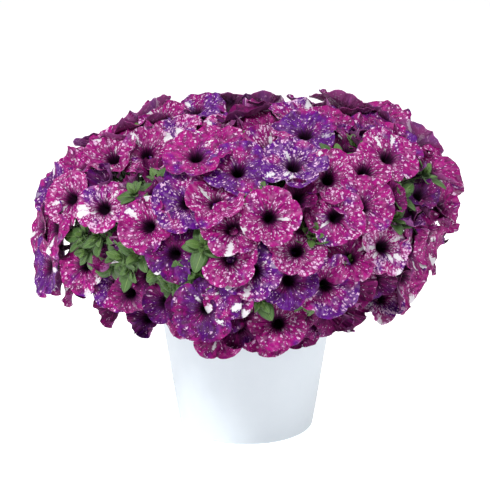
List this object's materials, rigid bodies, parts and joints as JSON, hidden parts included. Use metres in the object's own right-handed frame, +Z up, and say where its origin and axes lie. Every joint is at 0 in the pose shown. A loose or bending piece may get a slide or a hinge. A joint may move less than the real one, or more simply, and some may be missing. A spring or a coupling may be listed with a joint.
{
  "type": "petunia plant in a pot",
  "caption": "Mounded petunia covered in speckled funnel-shaped blooms, with leafy stems rising from the soil of a plain tapered pot that stands on a flat base",
  "frame": {"origin": "centre of the pot's flat base, on the surface that it stands on", "axes": "+Z up along the pot's axis, -Y towards the side that is seen in the picture, +X to the right of that side"},
  "size_m": [0.5929, 0.5805, 0.4597],
  "materials": {
    "pot": "matt, plain, very slightly blue white",
    "soil": "damp crumbly potting mix",
    "foliage": "soft, finely hairy green",
    "petals_magenta": "velvety magenta with white speckles and a dark throat",
    "petals_violet": "velvety violet with white speckles and a dark throat"
  },
  "bodies": {
    "root": {"pot": "pot", "soil": "soil", "leafy_stem_01": "foliage", "leafy_stem_02": "foliage", "leafy_stem_03": "foliage", "leafy_stem_04": "foliage", "leafy_stem_05": "foliage", "leafy_stem_06": "foliage", "leafy_stem_07": "foliage", "leafy_stem_08": "foliage", "leafy_stem_09": "foliage", "leafy_stem_10": "foliage", "leafy_stem_11": "foliage", "leafy_stem_12": "foliage", "bloom_bunch_01": "petals_magenta", "bloom_bunch_02": "petals_violet", "bloom_bunch_03": "petals_magenta", "bloom_bunch_04": "petals_violet", "bloom_bunch_05": "petals_magenta", "bloom_bunch_06": "petals_violet", "bloom_bunch_07": "petals_magenta", "bloom_bunch_08": "petals_violet", "bloom_bunch_09": "petals_magenta", "bloom_bunch_10": "petals_violet", "bloom_bunch_11": "petals_magenta", "bloom_bunch_12": "petals_violet", "bloom_bunch_13": "petals_magenta", "bloom_bunch_14": "petals_violet", "bloom_bunch_15": "petals_magenta", "bloom_bunch_16": "petals_violet", "bloom_bunch_17": "petals_magenta", "bloom_bunch_18": "petals_violet", "bloom_bunch_19": "petals_magenta", "bloom_bunch_20": "petals_violet", "bloom_bunch_21": "petals_magenta", "bloom_bunch_22": "petals_violet", "bloom_bunch_23": "petals_magenta", "bloom_bunch_24": "petals_violet", "bloom_bunch_25": "petals_magenta", "bloom_bunch_26": "petals_violet", "bloom_bunch_27": "petals_magenta", "bloom_bunch_28": "petals_violet", "bloom_bunch_29": "petals_magenta", "bloom_bunch_30": "petals_violet", "bloom_bunch_31": "petals_magenta", "bloom_bunch_32": "petals_violet", "bloom_bunch_33": "petals_magenta", "bloom_bunch_34": "petals_violet", "bloom_bunch_35": "petals_magenta", "bloom_bunch_36": "petals_violet", "bloom_bunch_37": "petals_magenta", "bloom_bunch_38": "petals_violet", "bloom_bunch_39": "petals_magenta", "bloom_bunch_40": "petals_violet", "bloom_bunch_41": "petals_magenta", "bloom_bunch_42": "petals_violet", "bloom_bunch_43": "petals_magenta", "bloom_bunch_44": "petals_violet", "bloom_bunch_45": "petals_magenta"}
  },
  "joints": []
}
